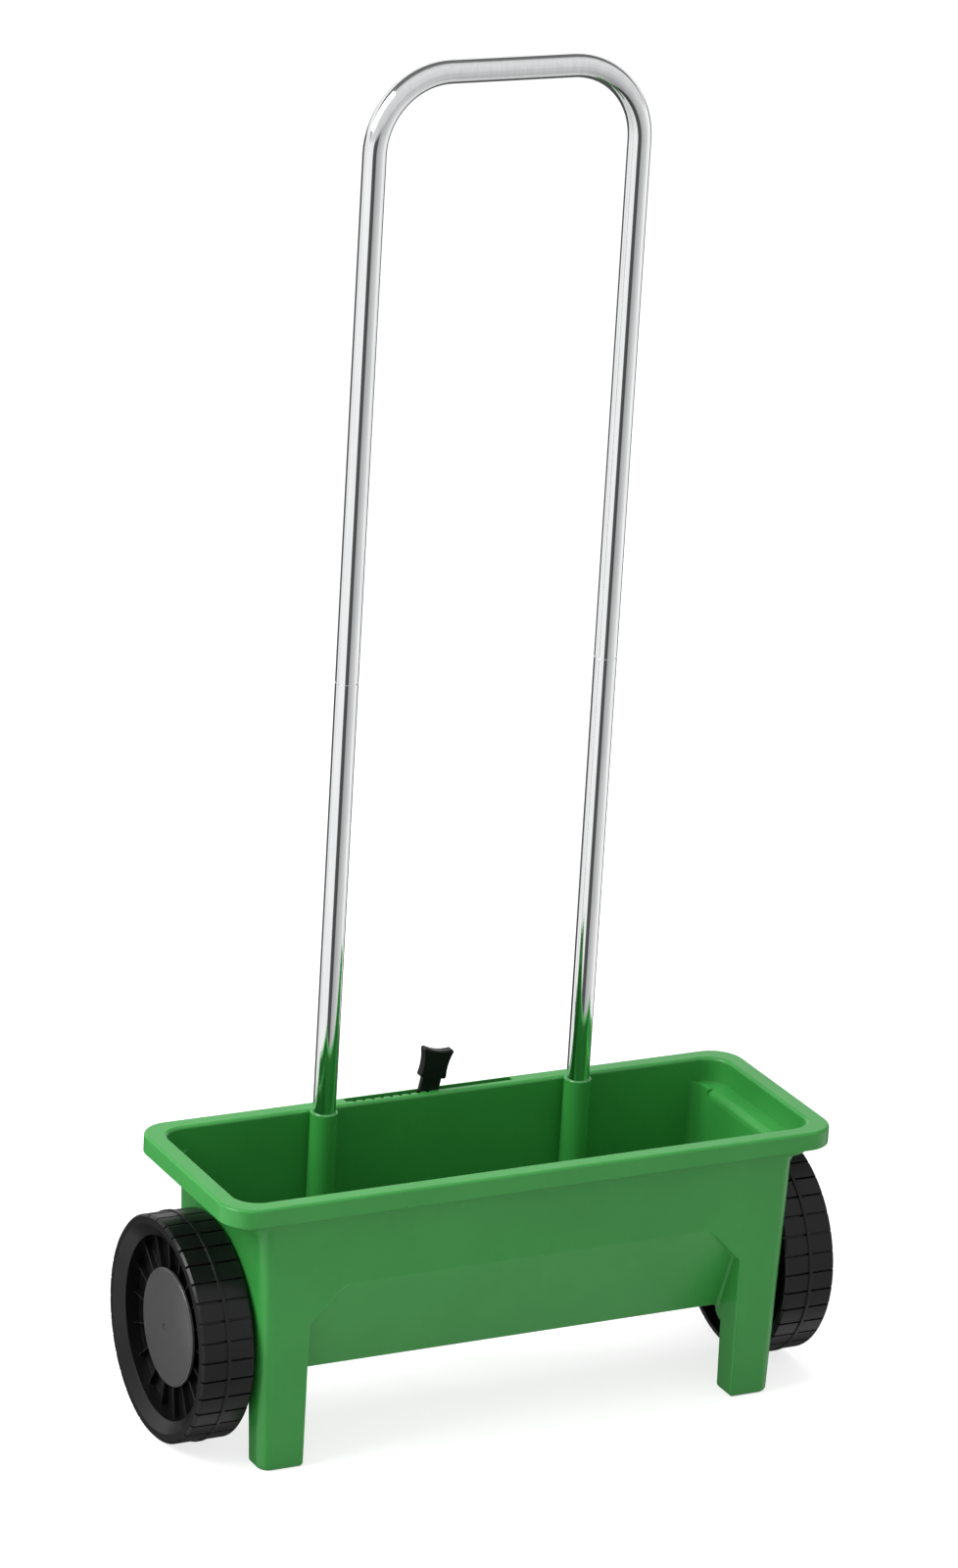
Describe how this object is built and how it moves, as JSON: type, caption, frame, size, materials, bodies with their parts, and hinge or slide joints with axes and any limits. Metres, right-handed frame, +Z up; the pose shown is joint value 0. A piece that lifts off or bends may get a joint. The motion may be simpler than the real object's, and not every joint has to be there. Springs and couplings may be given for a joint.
{
  "type": "garden spreader",
  "caption": "Walk-behind garden drop spreader: open green trough hopper with front legs, bright U-shaped push handle, black wheels, a stirring axle and a lever-set shutter below.",
  "frame": {"origin": "centre of the bounding box at floor level, where the wheels and the front legs stand", "axes": "+Z up, +X to the right when facing the front with its legs, +Y towards the handle and the dosing lever"},
  "size_m": [0.603, 0.2106, 1.164],
  "materials": {
    "hopper_green": "satin",
    "tube_bright": "polished",
    "wheel_black": "satin",
    "cap_black": "gloss",
    "lever_black": "satin",
    "inner_black": "matte",
    "steel_zinc": "satin"
  },
  "bodies": {
    "frame": {"hopper": "hopper_green", "handle_bow": "tube_bright", "handle_tube_left": "tube_bright", "handle_tube_right": "tube_bright", "socket_screw_left": "steel_zinc", "socket_screw_right": "steel_zinc", "axle_bush_left": "inner_black", "axle_bush_right": "inner_black", "pivot_screw": "steel_zinc", "pivot_washer": "steel_zinc", "guide_rail_front": "inner_black", "guide_rail_rear_left": "inner_black", "guide_rail_rear_right": "inner_black", "rail_screws_front": "steel_zinc", "rail_screws_rear_left": "steel_zinc", "rail_screws_rear_right": "steel_zinc"},
    "drive_axle": {"axle": "steel_zinc", "wheel_left": "wheel_black", "hub_cap_left": "cap_black", "wheel_drive_pin": "steel_zinc", "axle_washer_left": "steel_zinc", "push_nut_left": "steel_zinc", "push_nut_right": "steel_zinc", "stirrer_left": "inner_black", "stirrer_centre": "inner_black", "stirrer_right": "inner_black"},
    "free_wheel": {"wheel_right": "wheel_black", "hub_cap_right": "cap_black", "axle_washer_right": "steel_zinc"},
    "dosing_lever": {"dosing_lever": "lever_black", "lever_grip": "lever_black"},
    "shutter": {"shutter_plate": "inner_black", "shutter_drive_pin": "steel_zinc"}
  },
  "joints": [
    {"name": "drive_axle_spin", "type": "hinge", "parent": "frame", "child": "drive_axle", "pos_m": [0, 0.00675, 0.0985], "axis": [1, 0, 0], "continuous": true},
    {"name": "free_wheel_spin", "type": "hinge", "parent": "frame", "child": "free_wheel", "pos_m": [0, 0.00675, 0.0985], "axis": [1, 0, 0], "continuous": true},
    {"name": "dosing_lever_swing", "type": "hinge", "parent": "frame", "child": "dosing_lever", "pos_m": [-0.0425, 0.09245, 0.084], "axis": [0, 1, 0], "range_deg": [-24, 5.5]},
    {"name": "shutter_slide", "type": "slide", "parent": "frame", "child": "shutter", "axis": [1, 0, 0], "range_m": [-0.0026, 0.0112]}
  ],
  "couplings": [
    {"joint": "shutter_slide", "follows": "dosing_lever_swing", "m_per_rad": -0.0266}
  ]
}
